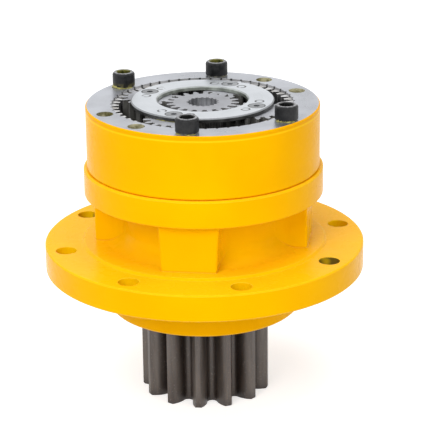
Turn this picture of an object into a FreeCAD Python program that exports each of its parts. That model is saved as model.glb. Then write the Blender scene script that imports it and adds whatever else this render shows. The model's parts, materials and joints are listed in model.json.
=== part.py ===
import FreeCAD, Part
import math
import os
from FreeCAD import Vector

os.makedirs("parts", exist_ok=True)

# Millimetres, +Z up. The origin is the centre of the mounting flange's
# underside. The front rib, the screws and the flange holes are placed from -Y.

# Driving dimensions: casing
FLANGE_R = 170.0
FLANGE_T = 28.5
FLANGE_EDGE = 1.2
FLANGE_HOLE_COUNT = 8
FLANGE_HOLE_INSET = 20.0
FLANGE_HOLE_R = 11.0
PAD_STEP = 1.5
PAD_H = 2.5
HUB_R = 102.0
HUB_LEN = 44.5
HUB_EDGE = 1.5
NECK_R = 88.5
NECK_LEN = 51.0
NECK_FLARE = 18.0
FLARE_BITE = 0.2
RIB_COUNT = 4
RIB_INSET = 13.5
RIB_FOOT_W = 57.5
RIB_HEAD_W = 63.0
RIB_ROUND = 2.5
RIB_FILLET = 18.0
BAND_STEP = 3.7
BAND_H = 29.5
BAND_EDGE = 1.5
CHAMBER_ROOM = 2.625
CHAMBER_DEPTH = 19.5
RELIEF_STEP = 5.0

# Driving dimensions: ring gear and its screws
RING_WEB = 3.875
RING_RIM = 6.05
RING_H = 67.0
RING_EDGE = 1.4
SEAM_EDGE = 1.2
TOOTH_RECESS = 1.5
RECESS_ROOM = 1.025
SCREW_HOLE_R = 8.75
SCREW_R = 8.0
SCREW_LEN = 85.0
SCREW_HEAD_R = 12.0
SCREW_HEAD_H = 16.0
SCREW_SOCKET_AF = 14.0
SCREW_SOCKET_DEPTH = 8.0
SCREW_HEAD_EDGE = 1.6
TAPPED_DEPTH = 22.5
SCREW_HOLE_ANGLES = (30, 60, 90, 150, 210, 240, 270, 330)
SCREW_ANGLES = (90, 150, 270, 330)

# Driving dimensions: gear stages
MODULE = 3.5
PRESSURE = math.radians(20.0)
RING_TEETH = 52
SUN1_TEETH = 20
PLANET1_COUNT = 4
SUN2_TEETH = 14
PLANET2_COUNT = 3
FLANK_GAP = 0.1
FLANK1_POINT_COUNT = 3
FLANK2_POINT_COUNT = 2
TIP_SHORTENING = 0.3
RING_PHASE = math.radians(3.0)
CARRIER1_ANGLE = math.radians(70.4)
CARRIER2_ANGLE = math.radians(30.0)
STAGE1_FACE = 21.8
STAGE2_FACE = 30.0
AXIAL_GAP = 0.7
PIN_FIT = 0.05
PIN1_R = 11.0
PIN2_R = 15.0
CARRIER1_ROOM = 4.8
CARRIER1_T = 9.5
CARRIER2_ROOM = 1.8
CARRIER2_T = 17.5
CARRIER2_HUB_R = 50.0
SPLINE_FIT = 0.1
SPLINE_TIP_SHARE = 0.7
SPLINE_ROOT_SHARE = 1.3
INPUT_SPLINE_TEETH = 18
INPUT_SPLINE_R = 17.5
INPUT_SPLINE_DEPTH = 2.0
OUTPUT_SPLINE_TEETH = 16
OUTPUT_SPLINE_R = 36.0
OUTPUT_SPLINE_DEPTH = 2.5
SUN1_RISE = 0.5

# Driving dimensions: side plate over the first stage
PLATE_ROOM = 12.8
PLATE_BORE_ROOM = 9.3
PLATE_T = 4.5
PLATE_RISE = 4.0
PLATE_EDGE = 1.2
PLATE_SCREW_HEAD_R = 8.3
PLATE_SCREW_HEAD_H = 3.2
PLATE_SCREW_GAP = 0.45
PLATE_SCREW_R = 5.0
PLATE_SCREW_LEN = 20.0
PLATE_SOCKET_AF = 6.0
PLATE_SOCKET_DEPTH = 2.4

# Driving dimensions: output pinion shaft
PINION_MODULE = 9.0
PINION_TEETH = 13
PINION_SHIFT = 0.167
PINION_FOOT_DROP = 1.0
PINION_FACE = 87.0
PINION_OVERHANG = 96.5
PINION_EDGE = 1.2
PINION_PHASE = math.radians(21.8)
COLLAR_R = 52.0
SHAFT_INSET = 3.2
NUT_SEAT_R = 37.5

# Driving dimensions: output bearings, seal and nut
LOWER_BORE_R = 45.0
LOWER_CUP_R = 80.0
LOWER_T = 42.5
LOWER_CONE_W = 40.0
LOWER_CUP_W = 34.0
LOWER_ROLLER_R = 9.2
LOWER_ROLLER_LEN = 26.0
UPPER_BORE_R = 40.0
UPPER_CUP_R = 70.0
UPPER_T = 35.25
UPPER_CONE_W = 33.0
UPPER_CUP_W = 28.0
UPPER_ROLLER_R = 7.6
UPPER_ROLLER_LEN = 21.0
ROLLER_COUNT = 20
ROLLER_SIDE_COUNT = 10
ROLLER_TILT = math.radians(12.0)
ROLLER_TAPER = math.radians(2.0)
ROLLER_GAP = 0.3
WEB_T = 11.5
WEB_BORE_R = 64.0
SLEEVE_R = 55.0
SLEEVE_OUT = 3.5
SEAL_W = 12.0
SEAL_INSET = 1.5
SEAL_TO_BEARING = 11.0
SEAL_LIP_GAP = 0.3
SEAL_WALL = 5.0
NUT_R = 50.0
NUT_H = 13.0
NUT_SLOT_COUNT = 4
NUT_SLOT_W = 8.0
NUT_SLOT_DEPTH = 4.0

# Driving dimensions: oil plug in a rear pocket
PLUG_ANGLE = 45.0
PLUG_Z = 69.2
PLUG_BOSS_R = 12.5
PLUG_BOSS_OUT = 3.5
PLUG_R = 7.0
PLUG_HEAD_AF = 17.0
PLUG_HEAD_H = 8.0
PLUG_COLLAR_R = 10.5
PLUG_COLLAR_T = 1.5

# Heights that follow
PAD_Z = FLANGE_T + PAD_H
BAND_Z = PAD_Z + NECK_LEN
JOINT_Z = BAND_Z + BAND_H
FACE_Z = JOINT_Z + RING_H
CHAMBER_Z = JOINT_Z - CHAMBER_DEPTH
HUB_Z = -HUB_LEN
PINION_Z = HUB_Z - PINION_OVERHANG
PLATE_TOP_Z = FACE_Z + PLATE_RISE
PLATE_Z = PLATE_TOP_Z - PLATE_T
PLANET1_Z = PLATE_Z - AXIAL_GAP - STAGE1_FACE
CARRIER1_Z = PLANET1_Z - AXIAL_GAP - CARRIER1_T
PLANET2_TOP_Z = CARRIER1_Z - 2 * AXIAL_GAP
PLANET2_Z = PLANET2_TOP_Z - STAGE2_FACE
CARRIER2_TOP_Z = PLANET2_Z - AXIAL_GAP
CARRIER2_Z = CARRIER2_TOP_Z - CARRIER2_T
SUN1_TOP_Z = FACE_Z + SUN1_RISE
SHAFT_TOP_Z = CARRIER2_TOP_Z - SHAFT_INSET
SUN2_Z = SHAFT_TOP_Z + AXIAL_GAP
SLEEVE_Z = HUB_Z - SLEEVE_OUT
LOWER_CONE_Z = HUB_Z + SEAL_INSET + SEAL_W + SEAL_TO_BEARING
WEB_Z = LOWER_CONE_Z + LOWER_T
UPPER_CUP_Z = WEB_Z + WEB_T
UPPER_CONE_TOP_Z = UPPER_CUP_Z + UPPER_T
NUT_TOP_Z = UPPER_CONE_TOP_Z + NUT_H
HUB2_Z = NUT_TOP_Z + AXIAL_GAP

# Gear sizes that follow
PLANET1_TEETH = (RING_TEETH - SUN1_TEETH) // 2
PLANET2_TEETH = (RING_TEETH - SUN2_TEETH) // 2
ORBIT1_R = MODULE * (SUN1_TEETH + PLANET1_TEETH) / 2
ORBIT2_R = MODULE * (SUN2_TEETH + PLANET2_TEETH) / 2
ADDENDUM = MODULE
DEDENDUM = 1.25 * MODULE
RING_TIP_R = MODULE * RING_TEETH / 2 - ADDENDUM + TIP_SHORTENING
RING_ROOT_R = MODULE * RING_TEETH / 2 + DEDENDUM
SUN1_TIP_R = MODULE * SUN1_TEETH / 2 + ADDENDUM - TIP_SHORTENING
PINION_PITCH_R = PINION_MODULE * PINION_TEETH / 2
PINION_TIP_R = PINION_PITCH_R + (1 + PINION_SHIFT) * PINION_MODULE
PINION_ROOT_R = PINION_PITCH_R - (1.25 - PINION_SHIFT) * PINION_MODULE

# Radii that follow the ring gear's toothing
SCREW_ORBIT_R = RING_ROOT_R + RING_WEB + SCREW_HOLE_R
RING_R = SCREW_ORBIT_R + SCREW_HOLE_R + RING_RIM
RECESS_R = RING_ROOT_R + RECESS_ROOM
CHAMBER_R = RING_ROOT_R + CHAMBER_ROOM
BAND_R = RING_R + BAND_STEP
PAD_R = BAND_R + PAD_STEP
RIB_REACH = BAND_R - RIB_INSET
CARRIER1_R = RING_TIP_R - CARRIER1_ROOM
CARRIER2_R = RING_TIP_R - CARRIER2_ROOM
PLATE_R = RING_TIP_R - PLATE_ROOM
PLATE_BORE_R = SUN1_TIP_R + PLATE_BORE_ROOM
RELIEF_R = UPPER_CUP_R + RELIEF_STEP


def turned(points):
    """Solid of revolution about Z from (radius, height) points."""
    corners = [Vector(r, 0, z) for r, z in points]
    face = Part.Face(Part.makePolygon(corners + corners[:1]))
    return face.revolve(Vector(0, 0, 0), Vector(0, 0, 1), 360)


def disc(radius, z, height, x=0.0, y=0.0):
    return Part.makeCylinder(radius, height, Vector(x, y, z))


def prism(points, z, height):
    corners = [Vector(x, y, z) for x, y in points]
    face = Part.Face(Part.makePolygon(corners + corners[:1]))
    return face.extrude(Vector(0, 0, height))


def arc(start, middle, end):
    return Part.Arc(start, middle, end).toShape()


def line(start, end):
    return Part.LineSegment(start, end).toShape()


def polar(radius, angle):
    return (radius * math.cos(angle), radius * math.sin(angle))


def hexagon(across_flats, x=0.0, y=0.0):
    corner = across_flats / math.sqrt(3)
    points = []
    for k in range(6):
        px, py = polar(corner, math.radians(60 * k))
        points.append((x + px, y + py))
    return points


def spaced(count, start=0.0):
    return [start + 2 * math.pi * k / count for k in range(count)]


def involute(angle):
    return math.tan(angle) - angle


def half_angle(teeth, module, radius, shift=0.0, thinning=0.0):
    """Half the tooth's angle at a radius, on the involute flank."""
    pitch_r = module * teeth / 2
    base_r = pitch_r * math.cos(PRESSURE)
    at_pitch = math.pi / (2 * teeth) + 2 * shift * math.tan(PRESSURE) / teeth
    at_pitch -= thinning / pitch_r
    flank = math.acos(min(1.0, base_r / max(radius, base_r)))
    return at_pitch + involute(PRESSURE) - involute(flank)


def gear_outline(teeth, phase, radii, thinning):
    """Outline of an external gear, its flanks drawn through the radii."""
    points = []
    for centre in spaced(teeth, phase):
        for r in radii:
            points.append(polar(r, centre - half_angle(teeth, MODULE, r, 0, thinning)))
        for r in reversed(radii):
            points.append(polar(r, centre + half_angle(teeth, MODULE, r, 0, thinning)))
    return points


def external_radii(teeth, count, growth=0.0):
    """Radii of a flank's points, from the root circle to the tips."""
    root_r = MODULE * teeth / 2 - DEDENDUM + growth
    tip_r = MODULE * teeth / 2 + ADDENDUM - TIP_SHORTENING + growth
    return [root_r + (tip_r - root_r) * k / (count - 1) for k in range(count)]


def spline_outline(teeth, outer_r, depth, fit=0.0):
    """Straight-sided spline; a fit above zero opens it as a hole."""
    half = math.pi / (2 * teeth)
    slack = fit / outer_r
    tip = SPLINE_TIP_SHARE * half + slack
    root = SPLINE_ROOT_SHARE * half + slack
    points = []
    for centre in spaced(teeth):
        points.append(polar(outer_r - depth + fit, centre - root))
        points.append(polar(outer_r + fit, centre - tip))
        points.append(polar(outer_r + fit, centre + tip))
        points.append(polar(outer_r - depth + fit, centre + root))
    return points


# Casing: flange, hub, ribbed neck and the band that carries the ring gear
def rib_side(half_width, side):
    """Edge points of a rib that points along X, from the neck out to its face."""
    fillet_y = half_width + RIB_FILLET
    fillet_x = math.sqrt((NECK_R + RIB_FILLET) ** 2 - fillet_y ** 2)
    share = NECK_R / (NECK_R + RIB_FILLET)
    on_neck = (fillet_x * share, fillet_y * share)
    toward_neck = math.pi + math.atan2(fillet_y, fillet_x)
    halfway = 0.5 * (toward_neck + 1.5 * math.pi)
    fillet_mid = (
        fillet_x + RIB_FILLET * math.cos(halfway),
        fillet_y + RIB_FILLET * math.sin(halfway),
    )
    diagonal = RIB_ROUND * (1 - math.sqrt(0.5))
    points = [on_neck, fillet_mid, (fillet_x, half_width), (RIB_REACH - RIB_ROUND, half_width)]
    points += [(RIB_REACH - diagonal, half_width - diagonal), (RIB_REACH, half_width - RIB_ROUND)]
    return [(x, side * y) for x, y in points]


def neck_section(z, rib_width):
    """Outline of the neck with its filleted ribs at one height."""
    turn = FreeCAD.Rotation(Vector(0, 0, 1), 360 / RIB_COUNT)
    step = FreeCAD.Rotation(Vector(0, 0, 1), -90)
    between = Vector(*polar(NECK_R, math.pi / RIB_COUNT), 0)
    lift = Vector(0, 0, z)
    edges = []
    for k in range(RIB_COUNT):
        near, far = [
            [step.multVec(Vector(x, y, 0)) + lift for x, y in rib_side(rib_width / 2, side)]
            for side in (-1, 1)
        ]
        edges += [arc(*near[0:3]), line(near[2], near[3]), arc(*near[3:6])]
        edges += [line(near[5], far[5]), arc(*far[5:2:-1]), line(far[3], far[2]), arc(*far[2::-1])]
        next_near = turn.multVec(near[0])
        edges.append(arc(far[0], step.multVec(between) + lift, next_near))
        step = step.multiply(turn)
    return Part.Wire(edges)


def ribbed_neck():
    """Neck and ribs from inside the pad to inside the band, the ribs widening upward."""
    foot_z = PAD_Z - 0.5 * PAD_H
    head_z = BAND_Z + 0.25 * BAND_H
    widen = (RIB_HEAD_W - RIB_FOOT_W) / NECK_LEN
    foot = neck_section(foot_z, RIB_FOOT_W - widen * (PAD_Z - foot_z))
    head = neck_section(head_z, RIB_HEAD_W + widen * (head_z - BAND_Z))
    return Part.makeLoft([foot, head], True, True)


def neck_flare():
    """Quarter round that leads from the pad up into the neck."""
    inner_r = NECK_R - FLARE_BITE
    foot_z = PAD_Z - 0.5 * PAD_H
    top_z = PAD_Z + NECK_FLARE
    outer_r = inner_r + NECK_FLARE
    mid = NECK_FLARE * (1 - math.sqrt(0.5))
    corners = [Vector(RELIEF_R, 0, top_z), Vector(RELIEF_R, 0, foot_z)]
    corners += [Vector(outer_r, 0, foot_z), Vector(outer_r, 0, PAD_Z)]
    edges = [Part.makePolygon(corners)]
    top = Vector(inner_r, 0, top_z)
    edges.append(arc(corners[-1], Vector(inner_r + mid, 0, PAD_Z + mid), top))
    edges.append(line(top, corners[0]))
    return Part.Face(Part.Wire(edges)).revolve(Vector(0, 0, 0), Vector(0, 0, 1), 360)


def plug_axis():
    return Vector(*polar(1.0, math.radians(PLUG_ANGLE)), 0)


def casing_outside():
    """Flange, hub, core of the neck and band, without their bores."""
    outline = [(0, HUB_Z), (HUB_R - HUB_EDGE, HUB_Z)]
    outline += [(HUB_R, HUB_Z + HUB_EDGE), (HUB_R, 0)]
    outline += [(FLANGE_R - FLANGE_EDGE, 0), (FLANGE_R, FLANGE_EDGE)]
    outline += [(FLANGE_R, FLANGE_T - FLANGE_EDGE), (FLANGE_R - FLANGE_EDGE, FLANGE_T)]
    outline += [(PAD_R + PAD_H, FLANGE_T), (PAD_R, PAD_Z)]
    outline += [(RELIEF_R, PAD_Z), (RELIEF_R, BAND_Z), (BAND_R - BAND_EDGE, BAND_Z)]
    outline += [(BAND_R, BAND_Z + BAND_EDGE), (BAND_R, JOINT_Z - BAND_EDGE)]
    outline += [(BAND_R - BAND_EDGE, JOINT_Z), (0, JOINT_Z)]
    return turned(outline)


def casing_bores():
    """Seats of the seal and both bearing cups, and the chamber over them."""
    seat_top = UPPER_CUP_Z + UPPER_CUP_W
    outline = [(0, HUB_Z - 1), (LOWER_CUP_R, HUB_Z - 1), (LOWER_CUP_R, WEB_Z)]
    outline += [(WEB_BORE_R, WEB_Z), (WEB_BORE_R, UPPER_CUP_Z)]
    outline += [(UPPER_CUP_R, UPPER_CUP_Z), (UPPER_CUP_R, seat_top), (RELIEF_R, seat_top)]
    outline += [(RELIEF_R, CHAMBER_Z), (CHAMBER_R, CHAMBER_Z)]
    outline += [(CHAMBER_R, JOINT_Z + 1), (0, JOINT_Z + 1)]
    return turned(outline)


def casing():
    axis = plug_axis()
    boss_len = NECK_R + PLUG_BOSS_OUT - RELIEF_R
    boss_foot = axis * RELIEF_R + Vector(0, 0, PLUG_Z)
    boss = Part.makeCylinder(PLUG_BOSS_R, boss_len, boss_foot, axis)
    body = casing_outside().fuse([ribbed_neck(), neck_flare(), boss])
    cuts = [casing_bores(), Part.makeCylinder(PLUG_R, BAND_R, Vector(0, 0, PLUG_Z), axis)]
    for angle in spaced(FLANGE_HOLE_COUNT, math.pi / FLANGE_HOLE_COUNT):
        x, y = polar(FLANGE_R - FLANGE_HOLE_INSET, angle)
        cuts.append(disc(FLANGE_HOLE_R, -1, PAD_Z + 2, x, y))
    for angle in SCREW_HOLE_ANGLES:
        x, y = polar(SCREW_ORBIT_R, math.radians(angle))
        cuts.append(disc(SCREW_R, JOINT_Z - TAPPED_DEPTH, TAPPED_DEPTH + 1, x, y))
    return body.cut(cuts).removeSplitter()


def oil_plug():
    axis = plug_axis()
    seat = NECK_R + PLUG_BOSS_OUT
    head = prism(hexagon(PLUG_HEAD_AF), PLUG_COLLAR_T, PLUG_HEAD_H)
    collar = disc(PLUG_COLLAR_R, 0, PLUG_COLLAR_T)
    stem_len = seat - RELIEF_R
    stem = disc(PLUG_R, -stem_len, stem_len)
    plug = head.fuse([collar, stem])
    plug.rotate(Vector(0, 0, 0), Vector(0, 1, 0), 90)
    plug.rotate(Vector(0, 0, 0), Vector(0, 0, 1), PLUG_ANGLE)
    plug.translate(axis * seat + Vector(0, 0, PLUG_Z))
    return plug


# Ring gear: one internal toothing for both stages
def ring_gear():
    outline = [(0, JOINT_Z), (RING_R - SEAM_EDGE, JOINT_Z)]
    outline += [(RING_R, JOINT_Z + SEAM_EDGE), (RING_R, FACE_Z - RING_EDGE)]
    outline += [(RING_R - RING_EDGE, FACE_Z), (0, FACE_Z)]
    body = turned(outline)
    radii = [RING_TIP_R, MODULE * RING_TEETH / 2, RING_ROOT_R]
    space = gear_outline(RING_TEETH, RING_PHASE, radii, -FLANK_GAP)
    recess = disc(RECESS_R, FACE_Z - TOOTH_RECESS, TOOTH_RECESS + 1)
    cuts = [prism(space, JOINT_Z - 1, RING_H + 2), recess]
    for angle in SCREW_HOLE_ANGLES:
        x, y = polar(SCREW_ORBIT_R, math.radians(angle))
        cuts.append(disc(SCREW_HOLE_R, JOINT_Z - 1, RING_H + 2, x, y))
    return body.cut(cuts)


def ring_gear_screws():
    screws = []
    for angle in SCREW_ANGLES:
        x, y = polar(SCREW_ORBIT_R, math.radians(angle))
        head = disc(SCREW_HEAD_R, FACE_Z, SCREW_HEAD_H - SCREW_HEAD_EDGE, x, y)
        rim_z = FACE_Z + SCREW_HEAD_H - SCREW_HEAD_EDGE
        rim_r = SCREW_HEAD_R - SCREW_HEAD_EDGE
        rim = Part.makeCone(SCREW_HEAD_R, rim_r, SCREW_HEAD_EDGE, Vector(x, y, rim_z))
        shank = disc(SCREW_R, FACE_Z - SCREW_LEN, SCREW_LEN, x, y)
        top_z = FACE_Z + SCREW_HEAD_H
        socket = prism(
            hexagon(SCREW_SOCKET_AF, x, y), top_z - SCREW_SOCKET_DEPTH, SCREW_SOCKET_DEPTH + 1
        )
        screws.append(head.fuse([rim, shank]).cut(socket).removeSplitter())
    return Part.makeCompound(screws)


# Gear train, from the motor's spline down to the output shaft
def mesh_phase_of_sun(sun_teeth, planet_teeth, orbit_angle):
    """Sun phase that lets a planet at this angle meet ring and sun at once."""
    turns = orbit_angle * (RING_TEETH + sun_teeth) - RING_PHASE * RING_TEETH
    if planet_teeth % 2 == 0:
        turns += math.pi
    return turns / sun_teeth


def mesh_phase_of_planet(planet_teeth, orbit_angle):
    """Planet phase in mesh with the ring gear at this orbit angle."""
    ring_turn = (orbit_angle - RING_PHASE) * RING_TEETH
    return orbit_angle - ring_turn / planet_teeth


def input_sun_gear():
    phase = mesh_phase_of_sun(SUN1_TEETH, PLANET1_TEETH, CARRIER1_ANGLE)
    outline = gear_outline(SUN1_TEETH, phase, external_radii(SUN1_TEETH, FLANK1_POINT_COUNT), FLANK_GAP)
    bottom = PLANET1_Z
    height = SUN1_TOP_Z - bottom
    blank = prism(outline, bottom, height)
    bore = prism(
        spline_outline(INPUT_SPLINE_TEETH, INPUT_SPLINE_R, INPUT_SPLINE_DEPTH),
        bottom - 1,
        height + 2,
    )
    return blank.cut(bore)


def planet(teeth, flank_points, orbit_r, orbit_angle, bore_r, z, face):
    phase = mesh_phase_of_planet(teeth, orbit_angle)
    radii = external_radii(teeth, flank_points)
    gear = prism(gear_outline(teeth, phase, radii, FLANK_GAP), z, face)
    gear = gear.cut(disc(bore_r, z - 1, face + 2))
    gear.translate(Vector(*polar(orbit_r, orbit_angle), 0))
    return gear


def first_carrier():
    body = disc(CARRIER1_R, CARRIER1_Z, CARRIER1_T)
    radii = external_radii(SUN2_TEETH, FLANK2_POINT_COUNT, SPLINE_FIT)
    drive = gear_outline(SUN2_TEETH, second_sun_phase(), radii, -SPLINE_FIT)
    cuts = [prism(drive, CARRIER1_Z - 1, CARRIER1_T + 2)]
    for angle in spaced(PLANET1_COUNT, CARRIER1_ANGLE):
        x, y = polar(ORBIT1_R, angle)
        cuts.append(disc(PIN1_R, CARRIER1_Z - 1, CARRIER1_T + 2, x, y))
    return body.cut(cuts)


def first_planet_pins():
    pins = []
    height = PLATE_Z - CARRIER1_Z
    thread = PLATE_SCREW_LEN - PLATE_T
    for angle in spaced(PLANET1_COUNT, CARRIER1_ANGLE):
        x, y = polar(ORBIT1_R, angle)
        pin = disc(PIN1_R, CARRIER1_Z, height, x, y)
        pins.append(pin.cut(disc(PLATE_SCREW_R, PLATE_Z - thread, thread + 1, x, y)))
    return Part.makeCompound(pins)


def side_plate():
    outline = [(PLATE_BORE_R, PLATE_Z), (PLATE_R, PLATE_Z)]
    outline += [(PLATE_R, PLATE_TOP_Z - PLATE_EDGE), (PLATE_R - PLATE_EDGE, PLATE_TOP_Z)]
    outline += [(PLATE_BORE_R + PLATE_EDGE, PLATE_TOP_Z), (PLATE_BORE_R, PLATE_TOP_Z - PLATE_EDGE)]
    seat_z = PLATE_TOP_Z - PLATE_SCREW_HEAD_H
    cuts = []
    for angle in spaced(PLANET1_COUNT, CARRIER1_ANGLE):
        x, y = polar(ORBIT1_R, angle)
        cuts.append(disc(PLATE_SCREW_HEAD_R + PLATE_SCREW_GAP, seat_z, PLATE_SCREW_HEAD_H + 1, x, y))
        cuts.append(disc(PLATE_SCREW_R, PLATE_Z - 1, PLATE_T, x, y))
    return turned(outline).cut(cuts)


def side_plate_screws():
    """Low-head socket screws, flush in the plate, that run into the planet pins."""
    screws = []
    seat_z = PLATE_TOP_Z - PLATE_SCREW_HEAD_H
    for angle in spaced(PLANET1_COUNT, CARRIER1_ANGLE):
        x, y = polar(ORBIT1_R, angle)
        head = disc(PLATE_SCREW_HEAD_R, seat_z, PLATE_SCREW_HEAD_H, x, y)
        shank_len = PLATE_SCREW_LEN - PLATE_SCREW_HEAD_H
        shank = disc(PLATE_SCREW_R, seat_z - shank_len, shank_len, x, y)
        socket_z = PLATE_TOP_Z - PLATE_SOCKET_DEPTH
        socket = prism(hexagon(PLATE_SOCKET_AF, x, y), socket_z, PLATE_SOCKET_DEPTH + 1)
        screws.append(head.fuse(shank).cut(socket))
    return Part.makeCompound(screws)


def second_sun_phase():
    return mesh_phase_of_sun(SUN2_TEETH, PLANET2_TEETH, CARRIER2_ANGLE)


def second_sun_gear():
    radii = external_radii(SUN2_TEETH, FLANK2_POINT_COUNT)
    outline = gear_outline(SUN2_TEETH, second_sun_phase(), radii, FLANK_GAP)
    return prism(outline, SUN2_Z, CARRIER1_Z + CARRIER1_T - SUN2_Z)


def second_carrier():
    outline = [(0, HUB2_Z), (CARRIER2_HUB_R, HUB2_Z)]
    outline += [(CARRIER2_HUB_R, CARRIER2_Z), (CARRIER2_R, CARRIER2_Z)]
    outline += [(CARRIER2_R, CARRIER2_TOP_Z), (0, CARRIER2_TOP_Z)]
    body = turned(outline)
    bore = spline_outline(OUTPUT_SPLINE_TEETH, OUTPUT_SPLINE_R, OUTPUT_SPLINE_DEPTH, SPLINE_FIT)
    cuts = [prism(bore, HUB2_Z - 1, CARRIER2_TOP_Z - HUB2_Z + 2)]
    for angle in spaced(PLANET2_COUNT, CARRIER2_ANGLE):
        x, y = polar(ORBIT2_R, angle)
        cuts.append(disc(PIN2_R, CARRIER2_Z - 1, CARRIER2_T + 2, x, y))
    return body.cut(cuts)


def second_planet_pins():
    pins = []
    for angle in spaced(PLANET2_COUNT, CARRIER2_ANGLE):
        x, y = polar(ORBIT2_R, angle)
        pins.append(disc(PIN2_R, CARRIER2_Z, PLANET2_TOP_Z - CARRIER2_Z, x, y))
    return Part.makeCompound(pins)


# Output shaft with the pinion cut on its lower end
def pinion_wire():
    """Pinion section: arcs on tips and flanks, one round in each root."""
    base_r = PINION_PITCH_R * math.cos(PRESSURE)
    foot_r = base_r - PINION_FOOT_DROP
    mid_r = 0.5 * (base_r + PINION_TIP_R)

    def flank(centre, r, side):
        half = half_angle(PINION_TEETH, PINION_MODULE, r, PINION_SHIFT)
        return Vector(*polar(r, centre + side * half), 0)

    edges = []
    pitch = 2 * math.pi / PINION_TEETH
    for centre in spaced(PINION_TEETH, PINION_PHASE):
        foot_in, mid_in, tip_in = [flank(centre, r, -1) for r in (foot_r, mid_r, PINION_TIP_R)]
        tip_out, mid_out, foot_out = [flank(centre, r, 1) for r in (PINION_TIP_R, mid_r, foot_r)]
        crown = Vector(*polar(PINION_TIP_R, centre), 0)
        root = Vector(*polar(PINION_ROOT_R, centre + pitch / 2), 0)
        next_foot = flank(centre + pitch, foot_r, -1)
        edges += [arc(foot_in, mid_in, tip_in), arc(tip_in, crown, tip_out)]
        edges += [arc(tip_out, mid_out, foot_out), arc(foot_out, root, next_foot)]
    return Part.Wire(edges)


def output_pinion_shaft():
    section = Part.Face(pinion_wire())
    teeth = section.extrude(Vector(0, 0, PINION_FACE))
    teeth.translate(Vector(0, 0, PINION_Z))
    reach = PINION_TIP_R + 1
    envelope = [(0, PINION_Z), (PINION_TIP_R - PINION_EDGE, PINION_Z)]
    envelope += [(reach, PINION_Z + PINION_EDGE + 1)]
    envelope += [(reach, PINION_Z + PINION_FACE), (0, PINION_Z + PINION_FACE)]
    teeth = teeth.common(turned(envelope))
    collar_z = PINION_Z + PINION_FACE
    stem = [(0, collar_z - 1), (PINION_ROOT_R - 1, collar_z - 1), (PINION_ROOT_R - 1, collar_z)]
    stem += [(COLLAR_R, collar_z), (COLLAR_R, SLEEVE_Z), (LOWER_BORE_R, SLEEVE_Z)]
    stem += [(LOWER_BORE_R, WEB_Z), (UPPER_BORE_R, WEB_Z), (UPPER_BORE_R, UPPER_CONE_TOP_Z)]
    stem += [(NUT_SEAT_R, UPPER_CONE_TOP_Z), (NUT_SEAT_R, NUT_TOP_Z), (0, NUT_TOP_Z)]
    spline = prism(
        spline_outline(OUTPUT_SPLINE_TEETH, OUTPUT_SPLINE_R, OUTPUT_SPLINE_DEPTH),
        NUT_TOP_Z,
        SHAFT_TOP_Z - NUT_TOP_Z,
    )
    return teeth.fuse([turned(stem), spline]).removeSplitter()


# Output bearings: two tapered roller bearings set back to back
class TaperedBearing:
    """One tapered bearing; side is +1 with its thick cone end upward."""

    def __init__(self, bore_r, cup_r, cone_z, cone_w, cup_z, cup_w, roller_r, roller_len, side):
        self.bore_r = bore_r
        self.cup_r = cup_r
        self.cone_z = cone_z
        self.cone_w = cone_w
        self.cup_z = cup_z
        self.cup_w = cup_w
        self.roller_r = roller_r
        self.roller_len = roller_len
        self.side = side
        self.mid_r = 0.5 * (bore_r + cup_r)
        self.mid_z = cone_z + cone_w / 2

    def race_point(self, along, out):
        """Point of a race beside the roller, out is +1 cup or -1 cone."""
        radius = self.roller_r + along * math.tan(ROLLER_TAPER) + ROLLER_GAP
        r = self.mid_r + along * math.sin(ROLLER_TILT) + out * radius * math.cos(ROLLER_TILT)
        z = along * math.cos(ROLLER_TILT) - out * radius * math.sin(ROLLER_TILT)
        return (r, self.mid_z + self.side * z)

    def race_line(self, out, z_low, z_high):
        """Race carried on to two heights."""
        (r1, z1), (r2, z2) = [self.race_point(t, out) for t in (-1, 1)]
        slope = (r2 - r1) / (z2 - z1)
        return [(r1 + slope * (z - z1), z) for z in (z_low, z_high)]

    def cup(self):
        top = self.cup_z + self.cup_w
        inner = self.race_line(1, self.cup_z, top)
        return turned(inner[:1] + [(self.cup_r, self.cup_z), (self.cup_r, top)] + inner[1:])

    def cone(self):
        top = self.cone_z + self.cone_w
        race = self.race_line(-1, self.cone_z, top)
        return turned([(self.bore_r, self.cone_z)] + race + [(self.bore_r, top)])

    def rollers(self):
        pieces = []
        half = self.roller_len / 2
        small = self.roller_r - half * math.tan(ROLLER_TAPER)
        large = self.roller_r + half * math.tan(ROLLER_TAPER)
        for angle in spaced(ROLLER_COUNT):
            rings = []
            for radius, z in ((small, -half), (large, half)):
                corners = [Vector(*polar(radius, a), z) for a in spaced(ROLLER_SIDE_COUNT)]
                rings.append(Part.makePolygon(corners + corners[:1]))
            roller = Part.makeLoft(rings, True, True)
            if self.side < 0:
                roller.rotate(Vector(0, 0, 0), Vector(1, 0, 0), 180)
            tilt = self.side * math.degrees(ROLLER_TILT)
            roller.rotate(Vector(0, 0, 0), Vector(0, 1, 0), tilt)
            roller.translate(Vector(self.mid_r, 0, self.mid_z))
            roller.rotate(Vector(0, 0, 0), Vector(0, 0, 1), math.degrees(angle))
            pieces.append(roller)
        return Part.makeCompound(pieces)


LOWER_BEARING = TaperedBearing(
    LOWER_BORE_R, LOWER_CUP_R, LOWER_CONE_Z, LOWER_CONE_W, WEB_Z - LOWER_CUP_W, LOWER_CUP_W,
    LOWER_ROLLER_R, LOWER_ROLLER_LEN, -1,
)
UPPER_BEARING = TaperedBearing(
    UPPER_BORE_R, UPPER_CUP_R, UPPER_CONE_TOP_Z - UPPER_CONE_W, UPPER_CONE_W, UPPER_CUP_Z,
    UPPER_CUP_W, UPPER_ROLLER_R, UPPER_ROLLER_LEN, 1,
)


def seal_sleeve():
    outline = [(LOWER_BORE_R, SLEEVE_Z), (SLEEVE_R, SLEEVE_Z)]
    outline += [(SLEEVE_R, LOWER_CONE_Z), (LOWER_BORE_R, LOWER_CONE_Z)]
    return turned(outline)


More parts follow.
